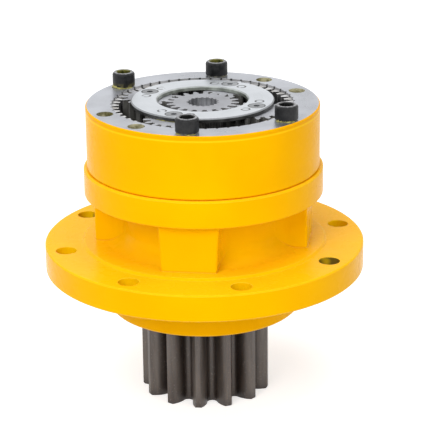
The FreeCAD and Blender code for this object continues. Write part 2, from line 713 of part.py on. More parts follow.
def oil_seal():
    """Pressed-in shell with a web down to the lip on the sleeve."""
    z = HUB_Z + SEAL_INSET
    lip_r = SLEEVE_R + SEAL_LIP_GAP
    outline = [(lip_r, z), (LOWER_CUP_R, z), (LOWER_CUP_R, z + SEAL_W)]
    outline += [(LOWER_CUP_R - SEAL_WALL, z + SEAL_W), (LOWER_CUP_R - SEAL_WALL, z + SEAL_WALL)]
    outline += [(lip_r, z + SEAL_WALL)]
    return turned(outline)


def lock_nut():
    body = disc(NUT_R, UPPER_CONE_TOP_Z, NUT_H)
    cuts = [disc(NUT_SEAT_R, UPPER_CONE_TOP_Z - 1, NUT_H + 2)]
    for angle in spaced(NUT_SLOT_COUNT):
        slot = Part.makeBox(
            2 * NUT_SLOT_DEPTH,
            NUT_SLOT_W,
            NUT_H + 2,
            Vector(NUT_R - NUT_SLOT_DEPTH, -NUT_SLOT_W / 2, UPPER_CONE_TOP_Z - 1),
        )
        slot.rotate(Vector(0, 0, 0), Vector(0, 0, 1), math.degrees(angle))
        cuts.append(slot)
    return body.cut(cuts)


# Write one file for each piece
def build():
    pieces = {
        "casing": casing(),
        "ring_gear": ring_gear(),
        "ring_gear_screws": ring_gear_screws(),
        "oil_plug": oil_plug(),
        "lower_bearing_cup": LOWER_BEARING.cup(),
        "lower_bearing_rollers": LOWER_BEARING.rollers(),
        "lower_bearing_cone": LOWER_BEARING.cone(),
        "upper_bearing_cup": UPPER_BEARING.cup(),
        "upper_bearing_rollers": UPPER_BEARING.rollers(),
        "upper_bearing_cone": UPPER_BEARING.cone(),
        "oil_seal": oil_seal(),
        "seal_sleeve": seal_sleeve(),
        "output_pinion_shaft": output_pinion_shaft(),
        "bearing_lock_nut": lock_nut(),
        "second_stage_carrier": second_carrier(),
        "second_stage_planet_pins": second_planet_pins(),
        "second_stage_sun_gear": second_sun_gear(),
        "first_stage_carrier": first_carrier(),
        "first_stage_planet_pins": first_planet_pins(),
        "side_plate": side_plate(),
        "side_plate_screws": side_plate_screws(),
        "input_sun_gear": input_sun_gear(),
    }
    for k, angle in enumerate(spaced(PLANET1_COUNT, CARRIER1_ANGLE)):
        pieces["first_stage_planet_%d" % (k + 1)] = planet(
            PLANET1_TEETH, FLANK1_POINT_COUNT, ORBIT1_R, angle, PIN1_R + PIN_FIT, PLANET1_Z, STAGE1_FACE
        )
    for k, angle in enumerate(spaced(PLANET2_COUNT, CARRIER2_ANGLE)):
        pieces["second_stage_planet_%d" % (k + 1)] = planet(
            PLANET2_TEETH, FLANK2_POINT_COUNT, ORBIT2_R, angle, PIN2_R + PIN_FIT, PLANET2_Z, STAGE2_FACE
        )
    for name, shape in pieces.items():
        shape.exportStep("parts/%s.step" % name)


build()
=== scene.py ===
import json
import math
import random

import bmesh
import bpy
from mathutils import Matrix, Vector
from mathutils.geometry import tessellate_polygon


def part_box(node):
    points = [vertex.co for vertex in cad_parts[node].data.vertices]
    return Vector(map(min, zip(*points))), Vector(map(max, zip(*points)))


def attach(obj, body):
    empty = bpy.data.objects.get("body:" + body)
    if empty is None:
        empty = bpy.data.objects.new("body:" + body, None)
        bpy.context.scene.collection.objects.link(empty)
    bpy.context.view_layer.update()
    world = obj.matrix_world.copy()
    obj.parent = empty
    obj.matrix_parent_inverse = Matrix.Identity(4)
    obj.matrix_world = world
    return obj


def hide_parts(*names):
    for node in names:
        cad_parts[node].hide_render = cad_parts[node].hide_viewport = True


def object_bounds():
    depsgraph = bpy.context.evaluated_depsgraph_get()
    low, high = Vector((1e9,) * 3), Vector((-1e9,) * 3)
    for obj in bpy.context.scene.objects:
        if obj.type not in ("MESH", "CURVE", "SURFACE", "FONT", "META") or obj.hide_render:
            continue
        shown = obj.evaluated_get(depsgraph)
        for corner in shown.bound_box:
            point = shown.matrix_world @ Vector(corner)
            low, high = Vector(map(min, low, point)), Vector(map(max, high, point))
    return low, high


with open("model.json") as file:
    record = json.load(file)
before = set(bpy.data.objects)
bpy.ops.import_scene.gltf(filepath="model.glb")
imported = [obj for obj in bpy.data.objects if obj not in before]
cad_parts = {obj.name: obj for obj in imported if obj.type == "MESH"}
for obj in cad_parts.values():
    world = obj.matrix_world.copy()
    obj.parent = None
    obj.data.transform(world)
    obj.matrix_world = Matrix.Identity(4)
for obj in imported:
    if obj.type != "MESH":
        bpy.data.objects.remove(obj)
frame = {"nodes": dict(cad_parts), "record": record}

CAD_BOX = [list(corner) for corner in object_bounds()]
NODES = frame["nodes"]
AXIS = Vector((0, 0, 0))

# Where the photograph was taken from
AZIMUTH = math.radians(8.4)
DISTANCE = 1.9147
HEIGHT = 0.7309
TILT = math.radians(19.4)
PAN = math.radians(0.253)
ROLL = math.radians(-0.673)
SENSOR = 36.0
LENS = 161.6
CLIP_END = 20.0

# Ring gear: its toothing lies sunk under the face, and the gaps run on into the recess wall
RING_LOW, RING_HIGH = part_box("ring_gear")
RING_R = RING_HIGH.x
FACE_Z = RING_HIGH.z
RING_FOOT_Z = RING_LOW.z
RING_EDGE = 0.0014
SEAM_EDGE = 0.0012
RING_STEPS = 240
TEETH = 52
PITCH_R = 0.091
PRESSURE_ANGLE = math.radians(20)
FIRST_GAP = math.radians(3)
BACKLASH = 0.0001
FLANK_RADII = (0.0878, 0.0890, 0.0902, 0.0915, 0.0930, 0.0942, 0.0952)
RECESS_R = FLANK_RADII[-1]
RECESS_DEPTH = 0.0029
NOTCH_R = 0.0968

# Screws and free holes in the ring's face
SCREW_ORBIT = 0.108
SCREW_ANGLES = (90, 150, 270, 330)
FREE_HOLE_ANGLES = (30, 60, 210, 240)
HOLE_R = 0.00875
HOLE_STEPS = 60

# One screw: its shank, its knurled head and the socket in it; insets are from the head's radius
SCREWS_LOW, SCREWS_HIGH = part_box("ring_gear_screws")
SCREW_STEPS = 144
SHANK_R = 0.008
SHANK_LEN = FACE_Z - SCREWS_LOW.z
SHANK_EDGE = 0.001
CENTRE_R = 0.001
HEAD_R = 0.012
HEAD_H = SCREWS_HIGH.z - FACE_Z
FOOT_INSET = 0.0009
FOOT_INSETS_AND_RISES = ((FOOT_INSET, 0.0), (0.0008, 0.0008), (0.0002, 0.0012))
KNURLS = 36
KNURL_DEPTH = 0.00022
KNURLS_FROM_FOOT = 0.0016
KNURLS_FROM_TOP = 0.0024
RIM_INSETS_AND_DROPS = ((0.0002, 0.0019), (0.0003, 0.0016), (0.0015, 0.0003), (0.0018, 0.0))
SOCKET_AF = 0.014
SOCKET_DEPTH = 0.008
SOCKET_EDGE_W = 0.0012
SOCKET_EDGE_H = 0.0006
DRILL_POINT = 0.0015
TURN_BETWEEN_SCREWS = math.radians(37)

# Side plate: walls nearer the axis than the first radius are its bore's, those past the second its rim's
PLATE_LOW, PLATE_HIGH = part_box("side_plate")
BORE_SIDE_R = 0.055
RIM_SIDE_R = 0.065

# Punched rings beside the side plate's screws, and the seats of those screws; painted shade darkens the
# rings and the gaps round the heads
PLATE_SCREW_ANGLE = math.radians(70.4)
MARK_ORBIT = 0.0605
MARK_ANGLE = math.radians(15.5)
MARK_R = 0.0043
SEAT_ORBIT = 0.063
SEAT_R = 0.00875

# Casing flange, sun gear and planets
FLANGE_ORBIT = 0.150
FLANGE_HOLE_R = 0.011
BARE_HOLES_ANGLE = math.radians(157.5)
SPLINE_R = 0.019
FIRST_PLANETS = 4

# Painted shade on the ring gear: a band under its face, and a painted highlight on the ridge that ends
# it
SHADE_BAND_DROP = 0.0046
HIGHLIGHT_RIDGE_DROP = 0.0050
HIGHLIGHT_RIDGE_W = 0.0014
PAINT_WANDER = 0.0012

# Grease: beads squeezed out at the screws' feet and under the plate's rim
BEAD_STEPS = 32
BEAD_LUMPS = 9
BEAD_THINNEST = 0.06
BEAD_TAPER = 0.6
BEAD_LAP = 0.0002
BEAD_SINK = 0.0001
FIRST_BEAD_SEED = 11
PLATE_BEAD_SEED = 31
PLATE_BEAD_DROP = 0.0004
PLATE_BEAD_INSET = 0.0006

# The plate's bead: its start and end in degrees, its width and its height
PLATE_BEAD = (236, 262, 0.0012, 0.0012)

# The screws' beads: the screw's place in SCREW_ANGLES, then the same four values
SCREW_BEADS = (
    (1, 190, 268, 0.0030, 0.0034),
    (1, 246, 340, 0.0024, 0.0016),
    (2, 195, 250, 0.0016, 0.0012),
    (2, 262, 330, 0.0014, 0.0009),
    (3, 205, 262, 0.0026, 0.0022),
    (3, 248, 330, 0.0022, 0.0016),
)

# Shading and studio
SHARP_ANGLE = math.radians(32)
LAMP_AIM = Vector((0, 0, 0.02))
ROOM_LIGHT = 0.45
FLOOR_GLOW = 0.62
FLOOR_HALF_W = 6.0
WHITE = (1, 1, 1, 1)
FLOOR_GREY = (0.7, 0.7, 0.7, 1)


# Materials
def srgb(r, g, b):
    """Colour as it looks on screen, 0 to 255, turned into the shader's numbers."""
    def channel(c):
        c /= 255
        return c / 12.92 if c <= 0.04045 else ((c + 0.055) / 1.055) ** 2.4
    return (channel(r), channel(g), channel(b), 1.0)


class Shader:
    """One node material and the few node chains that the finishes share."""

    def __init__(self, name, **sockets):
        self.material = bpy.data.materials.new(name)
        self.material.use_nodes = True
        self.tree = self.material.node_tree
        self.bsdf = self.tree.nodes["Principled BSDF"]
        self.place = self.node("ShaderNodeTexCoord").outputs["Object"]
        for key, value in sockets.items():
            self.bsdf.inputs[key.replace("_", " ")].default_value = value

    def node(self, kind, **settings):
        made = self.tree.nodes.new(kind)
        for key, value in settings.items():
            setattr(made, key, value)
        return made

    def link(self, source, target):
        self.tree.links.new(source, target)

    def feed(self, socket, value):
        """Links another node's output to a socket, or sets a fixed value on it."""
        if isinstance(value, bpy.types.NodeSocket):
            self.link(value, socket)
        else:
            socket.default_value = value

    def calc(self, operation, *values):
        made = self.node("ShaderNodeMath", operation=operation)
        for socket, value in zip(made.inputs, values):
            self.feed(socket, value)
        return made.outputs["Value"]

    def product(self, first, *others):
        result = first
        for other in others:
            result = self.calc("MULTIPLY", result, other)
        return result

    def distance(self, value, target):
        """How far a value lies from a target, above or below it."""
        return self.calc("ABSOLUTE", self.calc("SUBTRACT", value, target))

    def between(self, factor, low, high, out_low, out_high):
        """A factor's stretch from low to high, spread over another and held at its ends."""
        made = self.node("ShaderNodeMapRange")
        self.feed(made.inputs["Value"], factor)
        self.feed(made.inputs["From Min"], low)
        self.feed(made.inputs["From Max"], high)
        self.feed(made.inputs["To Min"], out_low)
        self.feed(made.inputs["To Max"], out_high)
        return made.outputs["Result"]

    def mix(self, factor, first, second):
        made = self.node("ShaderNodeMix", data_type="RGBA")
        self.feed(made.inputs["Factor"], factor)
        self.feed(made.inputs["A"], first)
        self.feed(made.inputs["B"], second)
        return made.outputs["Result"]

    def ramp(self, factor, *stops):
        """Blend from one colour to another, given as two pairs of position and colour."""
        made = self.node("ShaderNodeValToRGB")
        for element, (position, colour) in zip(made.color_ramp.elements, stops):
            element.position = position
            element.color = colour
        self.link(factor, made.inputs["Fac"])
        return made.outputs["Color"]

    def noise(self, scale, detail, place=None):
        made = self.node("ShaderNodeTexNoise")
        made.inputs["Scale"].default_value = scale
        made.inputs["Detail"].default_value = detail
        self.link(place or self.place, made.inputs["Vector"])
        return made.outputs["Fac"]

    def stretched(self, x, y, z):
        """Place on the object, scaled along each axis."""
        mapping = self.node("ShaderNodeMapping")
        mapping.inputs["Scale"].default_value = (x, y, z)
        self.link(self.place, mapping.inputs["Vector"])
        return mapping.outputs["Vector"]

    def polar(self):
        """Radius, angle and height about the gearbox axis."""
        split = self.node("ShaderNodeSeparateXYZ")
        self.link(self.place, split.inputs["Vector"])
        x, y, z = (split.outputs[axis] for axis in "XYZ")
        squares = self.calc("ADD", self.product(x, x), self.product(y, y))
        return self.calc("SQRT", squares), self.calc("ARCTAN2", y, x), z

    def turned_grain(self, lines):
        """Fine concentric lines about the gearbox axis, as a lathe leaves them."""
        radius, _, z = self.polar()
        along = self.node("ShaderNodeCombineXYZ")
        self.link(radius, along.inputs["X"])
        self.link(z, along.inputs["Z"])
        return self.noise(lines, 3.0, along.outputs["Vector"])

    def facing_up(self):
        """One on level faces that look up, nothing on upright ones."""
        split = self.node("ShaderNodeSeparateXYZ")
        self.link(self.node("ShaderNodeNewGeometry").outputs["Normal"], split.inputs["Vector"])
        return self.between(split.outputs["Z"], 0.6, 0.9, 0.0, 1.0)

    def crevices(self, reach):
        """One deep in corners and gaps narrower than the reach."""
        made = self.node("ShaderNodeAmbientOcclusion", samples=8)
        made.inputs["Distance"].default_value = reach
        return self.between(made.outputs["AO"], 0.35, 0.95, 1.0, 0.0)

    def soft_normal(self, radius):
        """Surface direction with the edges rounded to a radius."""
        made = self.node("ShaderNodeBevel", samples=6)
        made.inputs["Radius"].default_value = radius
        return made.outputs["Normal"]

    def edges(self, radius):
        """One on sharp edges, falling to nothing on flat ground."""
        dot = self.node("ShaderNodeVectorMath", operation="DOT_PRODUCT")
        self.link(self.soft_normal(radius), dot.inputs[0])
        self.link(self.node("ShaderNodeNewGeometry").outputs["Normal"], dot.inputs[1])
        return self.between(dot.outputs["Value"], 1.0, 0.82, 0.0, 1.0)

    def colour(self, source):
        self.link(source, self.bsdf.inputs["Base Color"])

    def roughness(self, cloud, least, most):
        """Roughness that follows a cloud of noise between two values."""
        self.link(self.between(cloud, 0.3, 0.7, least, most), self.bsdf.inputs["Roughness"])

    def metallic(self, up, walls, tops):
        """How metallic the surface is on its walls and on faces that look up."""
        self.link(self.between(up, 0.0, 1.0, walls, tops), self.bsdf.inputs["Metallic"])

    def bump(self, height, strength, distance, edge_radius):
        made = self.node("ShaderNodeBump")
        made.inputs["Strength"].default_value = strength
        made.inputs["Distance"].default_value = distance
        self.link(height, made.inputs["Height"])
        self.link(self.soft_normal(edge_radius), made.inputs["Normal"])
        self.link(made.outputs["Normal"], self.bsdf.inputs["Normal"])


def yellow_paint(s, dark, light):
    """Two close yellows in broad clouds, with painted light making deep pockets paler and greener, and
    painted shade deepening tight corners.
    """
    paint = s.ramp(s.noise(14.0, 3.0), (0.3, dark), (0.7, light))
    # Painted light: deep pockets turned paler and greener.
    paint = s.mix(s.crevices(0.05), paint, srgb(241, 197, 4))
    # Painted shade: tight corners turned deeper orange.
    return s.mix(s.crevices(0.0025), paint, srgb(232, 152, 0))


def bare_hole_walls(s, up):
    """Patches on the walls of the two opposite flange holes that the paint missed."""
    radius, angle, _ = s.polar()
    off_orbit = s.distance(radius, FLANGE_ORBIT)
    off_line = s.calc("ABSOLUTE", s.calc("SINE", s.calc("SUBTRACT", angle, BARE_HOLES_ANGLE)))
    return s.product(
        s.between(off_orbit, FLANGE_HOLE_R, FLANGE_HOLE_R + 0.0003, 1.0, 0.0),
        s.between(up, 0.0, 0.5, 1.0, 0.0),
        s.between(off_line, 0.08, 0.10, 1.0, 0.0),
        s.between(s.noise(16.0, 3.0), 0.49, 0.56, 0.0, 0.9),
    )


def enamel():
    """Thick yellow machine enamel of the casing, with painted highlights on its edges, where the paint
    also runs thinner, and a painted sheen that makes level tops paler.
    """
    s = Shader("yellow_enamel", Specular_IOR_Level=0.06, Specular_Tint=srgb(255, 180, 0))
    up = s.facing_up()
    paint = yellow_paint(s, srgb(245, 178, 0), srgb(250, 186, 0))
    # Painted sheen: faces that look up are drawn paler.
    paint = s.mix(s.product(up, 0.25), paint, srgb(254, 204, 30))
    paint = s.mix(bare_hole_walls(s, up), paint, srgb(74, 66, 34))
    # Painted highlight along the edges, partly the thinner paint there.
    s.colour(s.mix(s.edges(0.0010), paint, srgb(255, 216, 62)))
    s.roughness(s.noise(60.0, 3.0), 0.22, 0.32)
    s.bump(s.noise(420.0, 2.0), 0.08, 0.0004, 0.0014)
    return s.material


def ring_enamel():
    """Enamel on the ring gear, with a thin band of painted shade under its face and a painted highlight
    on the slight bumped ridge that ends it.
    """
    s = Shader("ring_enamel", Specular_IOR_Level=0.04, Specular_Tint=srgb(255, 180, 0))
    _, _, height = s.polar()
    wander = s.product(s.noise(22.0, 2.0), PAINT_WANDER)
    below = s.calc("SUBTRACT", s.calc("SUBTRACT", FACE_Z, height), wander)
    shade_band = s.between(below, SHADE_BAND_DROP - 0.0010, SHADE_BAND_DROP, 1.0, 0.0)
    highlight_ridge = s.between(s.distance(below, HIGHLIGHT_RIDGE_DROP), HIGHLIGHT_RIDGE_W - 0.0010, HIGHLIGHT_RIDGE_W, 1.0, 0.0)
    paint = yellow_paint(s, srgb(244, 176, 0), srgb(250, 184, 0))
    # Painted shade in the band under the face.
    paint = s.mix(s.product(shade_band, 0.6), paint, srgb(234, 162, 4))
    # Painted highlight along the ridge.
    s.colour(s.mix(s.product(highlight_ridge, 0.8), paint, srgb(255, 204, 24)))
    s.roughness(s.noise(60.0, 3.0), 0.22, 0.32)
    relief = s.calc("ADD", s.product(highlight_ridge, 1.5), s.noise(420.0, 2.0))
    s.bump(relief, 0.12, 0.0004, 0.0014)
    return s.material


def oily_wall(name, dark, light):
    """Inside of a hole or socket, under an uneven film of oil."""
    s = Shader(name, Metallic=0.15, Coat_Weight=0.25)
    cloud = s.noise(120.0, 4.0)
    s.colour(s.ramp(cloud, (0.38, dark), (0.6, light)))
    s.roughness(cloud, 0.3, 0.5)
    s.bump(cloud, 0.2, 0.0002, 0.0004)
    return s.material


def turned_steel(name, dark, light, rough, metallic=0.85):
    """Bare machined steel with lathe lines and a few oily clouds."""
    s = Shader(name, Metallic=metallic)
    grain = s.turned_grain(900.0)
    cloud = s.noise(26.0, 4.0)
    worn = s.ramp(cloud, (0.32, dark), (0.62, light))
    s.colour(s.mix(s.between(grain, 0.3, 0.7, 0.0, 0.3), worn, light))
    s.roughness(cloud, rough, rough + 0.14)
    s.bump(grain, 0.07, 0.0002, 0.0005)
    return s.material


def oiled_tops():
    """Ends of the ring's teeth: light steel under brown oil, with a painted highlight along their edges.
    """
    s = Shader("tooth_top_steel", Metallic=0.2)
    cloud = s.noise(60.0, 4.0)
    body = s.ramp(cloud, (0.34, srgb(146, 140, 130)), (0.6, srgb(208, 208, 209)))
    # Painted highlight on the teeth's edges.
    s.colour(s.mix(s.edges(0.0009), body, srgb(232, 230, 226)))
    s.roughness(cloud, 0.3, 0.44)
    s.bump(s.noise(700.0, 3.0), 0.12, 0.0002, 0.0006)
    return s.material


def plate_marks(s, radius, angle, up):
    """Mask of painted shade: eight punched rings, uneven in depth, and the gaps round the four screws'
    heads.
    """
    turn = s.calc("PINGPONG", s.calc("SUBTRACT", angle, PLATE_SCREW_ANGLE), math.pi / 4)

    def distance_from(orbit, angle_off_screw):
        """How far a point lies from the centre of a ring or screw on an orbit."""
        spread = s.calc("COSINE", s.calc("SUBTRACT", turn, angle_off_screw))
        squares = s.calc("ADD", s.product(radius, radius), orbit ** 2)
        overlap = s.product(radius, 2 * orbit, spread)
        return s.calc("SQRT", s.calc("MAXIMUM", s.calc("SUBTRACT", squares, overlap), 0.0))

    off_ring = s.distance(distance_from(MARK_ORBIT, MARK_ANGLE), MARK_R)
    ring = s.between(off_ring, 0.0006, 0.0011, 1.0, 0.0)
    uneven = s.between(s.noise(95.0, 2.0), 0.42, 0.50, 0.0, 1.0)
    # Painted shade in the gaps round the screws' heads.
    seat_gap_shade = s.between(distance_from(SEAT_ORBIT, 0.0), SEAT_R + 0.0004, SEAT_R + 0.0009, 0.8, 0.0)
    return s.product(s.calc("MAXIMUM", s.product(ring, uneven), seat_gap_shade), up)


def side_plate_steel():
    """Ground plate: bright on top, grey in its bore, dark and oily on its rim."""
    s = Shader("ground_plate_steel")
    radius, angle, _ = s.polar()
    up = s.facing_up()
    marks_and_gap_shade = plate_marks(s, radius, angle, up)
    cloud = s.noise(34.0, 4.0)
    grain = s.turned_grain(1400.0)
    top = s.ramp(cloud, (0.32, srgb(196, 201, 206)), (0.62, srgb(212, 216, 221)))
    top = s.mix(s.between(grain, 0.3, 0.7, 0.0, 0.4), top, srgb(217, 221, 226))
    oil = s.noise(90.0, 4.0)
    bore = s.ramp(oil, (0.35, srgb(104, 108, 100)), (0.7, srgb(180, 186, 178)))
    rim = s.ramp(oil, (0.35, srgb(40, 40, 40)), (0.7, srgb(88, 89, 88)))
    wall = s.mix(s.between(radius, BORE_SIDE_R, RIM_SIDE_R, 0.0, 1.0), bore, rim)
    # Painted shade: punched rings and the gaps round the screw heads drawn near black.
    s.colour(s.mix(marks_and_gap_shade, s.mix(up, wall, top), srgb(44, 46, 46)))
    s.metallic(up, 0.4, 0.85)
    s.roughness(cloud, 0.28, 0.38)
    s.bump(s.calc("SUBTRACT", grain, s.product(marks_and_gap_shade, 3.0)), 0.12, 0.0003, 0.0004)
    return s.material


def gear_steel(name, dark, light, rough, face_metal=0.85):
    """Cut gear steel: ground faces, darker oily flanks and edges rubbed bright."""
    s = Shader(name)
    up = s.facing_up()
    cloud = s.noise(55.0, 5.0)
    flank = s.ramp(cloud, (0.35, dark), (0.68, light))
    face = s.ramp(cloud, (0.3, srgb(152, 153, 158)), (0.7, srgb(180, 182, 188)))
    s.colour(s.mix(s.edges(0.0006), s.mix(up, flank, face), srgb(206, 206, 209)))
    s.metallic(up, 0.5, face_metal)
    s.roughness(cloud, rough, rough + 0.15)
    s.bump(s.noise(700.0, 3.0), 0.12, 0.0002, 0.0004)
    return s.material


def hardened_steel():
    """Output pinion: grey-brown scale with faint upright cutting marks, and painted shade in the gaps
    between its teeth.
    """
    s = Shader("hardened_pinion", Metallic=0.3, Specular_IOR_Level=0.8)
    streaks = s.noise(120.0, 5.0, s.stretched(1.0, 1.0, 0.12))
    specks = s.noise(520.0, 4.0)
    body = s.ramp(streaks, (0.3, srgb(64, 56, 52)), (0.72, srgb(102, 95, 90)))
    # Painted shade: darker in corners and tooth gaps.
    body = s.mix(s.crevices(0.016), body, srgb(48, 38, 33))
    s.colour(s.mix(s.between(specks, 0.6, 0.78, 0.0, 0.4), body, srgb(146, 140, 133)))
    s.roughness(streaks, 0.3, 0.44)
    s.bump(specks, 0.2, 0.0002, 0.0007)
    return s.material


def black_oxide(name, stain_top):
    """Black screws with painted glints along their upper rims and a painted sheen on their tops, with an
    olive stain of oil up to a height.
    """
    s = Shader(name, Metallic=0.1, Specular_IOR_Level=0.3)
    _, _, height = s.polar()
    cloud = s.noise(160.0, 4.0)
    wall = s.ramp(cloud, (0.35, srgb(16, 17, 18)), (0.75, srgb(40, 40, 41)))
    top = s.ramp(s.noise(420.0, 3.0), (0.35, srgb(84, 84, 86)), (0.65, srgb(158, 158, 161)))
    # Painted sheen: faces that look up are drawn lighter than the walls.
    body = s.mix(s.facing_up(), wall, top)
    wet = s.between(height, 0.2 * stain_top, stain_top, 1.0, 0.0)
    stain = s.product(wet, s.between(s.noise(150.0, 4.0), 0.42, 0.56, 0.1, 1.0))
    body = s.mix(stain, body, srgb(104, 98, 56))
    # Painted glints scattered along the rims' edges.
    rim_glints = s.product(s.edges(0.0009), s.between(s.noise(330.0, 3.0), 0.42, 0.58, 0.15, 1.0))
    s.colour(s.mix(rim_glints, body, srgb(204, 204, 208)))
    s.roughness(cloud, 0.3, 0.5)
    s.bump(s.noise(900.0, 2.0), 0.25, 0.0003, 0.0006)
    return s.material


def cast_iron():
    """Machined iron of the carriers, dull and clouded."""
    s = Shader("machined_iron", Metallic=0.7)
    cloud = s.noise(70.0, 5.0)
    s.colour(s.ramp(cloud, (0.3, srgb(66, 64, 62)), (0.7, srgb(104, 102, 100))))
    s.roughness(cloud, 0.4, 0.6)
    s.bump(s.noise(600.0, 3.0), 0.3, 0.0002, 0.0005)
    return s.material


def rubber():
    """Matt black rubber of the oil seal."""
    s = Shader("seal_rubber", Roughness=0.6)
    cloud = s.noise(180.0, 3.0)
    s.colour(s.ramp(cloud, (0.3, srgb(24, 24, 24)), (0.7, srgb(38, 37, 36))))
    s.bump(cloud, 0.2, 0.0001, 0.0004)
    return s.material


def grease():
    """Yellow-green assembly grease, thin and glossy."""
    s = Shader("assembly_grease", Roughness=0.25, Coat_Weight=0.4)
    cloud = s.noise(300.0, 3.0)
    s.colour(s.ramp(cloud, (0.3, srgb(84, 80, 34)), (0.7, srgb(172, 164, 84))))
    s.bump(cloud, 0.4, 0.0003, 0.0003)
    return s.material


RING_STEEL = turned_steel("turned_ring_steel", srgb(166, 169, 176), srgb(197, 200, 207), 0.26)
RING_ENAMEL = ring_enamel()
OILY_HOLE = oily_wall("oily_hole", srgb(104, 99, 62), srgb(196, 190, 156))
RING_TEETH_STEEL = gear_steel("ring_teeth_steel", srgb(54, 54, 54), srgb(112, 112, 112), 0.34)
TOOTH_TOP_STEEL = oiled_tops()
RECESS_STEEL = turned_steel("recess_wall_steel", srgb(126, 126, 127), srgb(188, 188, 190), 0.34, 0.25)
PLANET_STEEL = gear_steel("planet_gear_steel", srgb(88, 87, 83), srgb(146, 145, 140), 0.3, 0.2)
PLATE_SCREW_STEEL = turned_steel("plate_screw_steel", srgb(120, 122, 125), srgb(164, 167, 170), 0.3)
SPLINE_STEEL = gear_steel("spline_steel", srgb(120, 121, 124), srgb(190, 192, 196), 0.3)
SCREW_BLACK = black_oxide("black_oxide_screws", 0.0020)
SCREW_OILED = black_oxide("black_oxide_oiled", 0.0060)
OLIVE_SOCKET = oily_wall("olive_socket", srgb(54, 55, 24), srgb(124, 120, 52))
BLACK_SOCKET = oily_wall("black_socket", srgb(18, 19, 20), srgb(44, 45, 42))
GREASE = grease()

FINISHES = {
    "casing_paint": enamel(),
    "ring_steel": RING_STEEL,
    "black_screws": SCREW_BLACK,
    "plate_steel": side_plate_steel(),
    "gear_steel": gear_steel("cut_gear_steel", srgb(88, 87, 87), srgb(146, 145, 146), 0.3),
    "carrier_iron": cast_iron(),
    "pinion_steel": hardened_steel(),
    "bearing_steel": turned_steel("bearing_steel", srgb(160, 160, 166), srgb(195, 195, 200), 0.2),
    "seal_rubber": rubber(),
    "plug_steel": turned_steel("plated_plug", srgb(150, 148, 140), srgb(190, 186, 172), 0.3),
    "plate_screw_steel": PLATE_SCREW_STEEL,
}


def smooth_between_edges():
    """Modifier's node tree: smooth shading, left sharp where faces meet at a steep angle."""
    tree = bpy.data.node_groups.new("smooth_between_edges", "GeometryNodeTree")
    tree.interface.new_socket("Geometry", in_out="INPUT", socket_type="NodeSocketGeometry")
    tree.interface.new_socket("Geometry", in_out="OUTPUT", socket_type="NodeSocketGeometry")
    start = tree.nodes.new("NodeGroupInput")
    end = tree.nodes.new("NodeGroupOutput")
    faces = tree.nodes.new("GeometryNodeSetShadeSmooth")
    edges = tree.nodes.new("GeometryNodeSetShadeSmooth")
    edges.domain = "EDGE"
    edges.inputs["Shade Smooth"].default_value = False
    angle = tree.nodes.new("GeometryNodeInputMeshEdgeAngle")
    steep = tree.nodes.new("FunctionNodeCompare")
    steep.inputs["B"].default_value = SHARP_ANGLE
    tree.links.new(start.outputs[0], faces.inputs["Geometry"])
    tree.links.new(faces.outputs["Geometry"], edges.inputs["Geometry"])
    tree.links.new(angle.outputs["Unsigned Angle"], steep.inputs["A"])
    tree.links.new(steep.outputs["Result"], edges.inputs["Selection"])
    tree.links.new(edges.outputs["Geometry"], end.inputs[0])
    return tree


SMOOTH = smooth_between_edges()


def shade_smooth(piece):
    piece.modifiers.new("smooth", "NODES").node_group = SMOOTH


# Finishes of the solids
def finish_nodes():
    """Each solid takes the finish of its slot; the first stage's planets have a duller one."""
    for part in frame["record"]["subparts"]:
        node = NODES[part["node"]]
        node.data.materials.clear()
        node.data.materials.append(FINISHES[part["material_slot"]])
        shade_smooth(node)
    for number in range(1, FIRST_PLANETS + 1):
        NODES["first_stage_planet_%d" % number].data.materials[0] = PLANET_STEEL


def finish_spline_bore():
    """The broached bore of the sun gear is brighter than its teeth."""
    mesh = NODES["input_sun_gear"].data
    mesh.materials.append(SPLINE_STEEL)
    for face in mesh.polygons:
        upright = abs(face.normal.z) < 0.5
        if upright and math.hypot(face.center.x, face.center.y) < SPLINE_R:
            face.material_index = len(mesh.materials) - 1


finish_nodes()
finish_spline_bore()


# Mesh building
def at(radius, angle, z=0.0, centre=AXIS):
    """Point at a radius, angle and height about an upright axis."""
    return Vector((centre.x + radius * math.cos(angle), centre.y + radius * math.sin(angle), z))


def screw_place(degrees, z=0.0):
    """Place of a screw or free hole of the ring, by its angle."""
    return at(SCREW_ORBIT, math.radians(degrees), z)


def circle(radius, steps):
    """Points of a circle, each as radius and angle."""
    return [(radius, 2 * math.pi * k / steps) for k in range(steps)]


def loop(bm, points, z, centre=AXIS):
    """Corners at points given as radius and angle."""
    return [bm.verts.new(at(radius, angle, z, centre)) for radius, angle in points]


def skirt(bm, low, high, material=0):
    """Faces between two loops of equal length, which may share some points."""
    made = []
    for k, corner in enumerate(low):
        around = [corner, low[(k + 1) % len(low)], high[(k + 1) % len(low)], high[k]]
        corners = list(dict.fromkeys(around))
        if len(corners) > 2:
            made.append(bm.faces.new(corners))
            made[-1].material_index = material
    return made


def cap(bm, loops, material):
    """Flat face with the first loop as its outline and the others as holes."""
    corners = [corner for each in loops for corner in each]
    for triangle in tessellate_polygon([[corner.co for corner in each] for each in loops]):
        bm.faces.new([corners[k] for k in triangle]).material_index = material


def finished_mesh(name, bm, materials):
    """Mesh with its faces turned outwards and its materials in order."""
    bmesh.ops.recalc_face_normals(bm, faces=bm.faces)
    mesh = bpy.data.meshes.new(name)
    bm.to_mesh(mesh)
    bm.free()
    for material in materials:
        mesh.materials.append(material)
    return mesh


def new_piece(name, mesh, body, place=AXIS, turn=0.0):
    """Object of a mesh, in its place and riding on a body."""
    made = bpy.data.objects.new(name, mesh)
    made.location = place
    made.rotation_euler.z = turn
    bpy.context.scene.collection.objects.link(made)
    shade_smooth(made)
    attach(made, body)
    return made


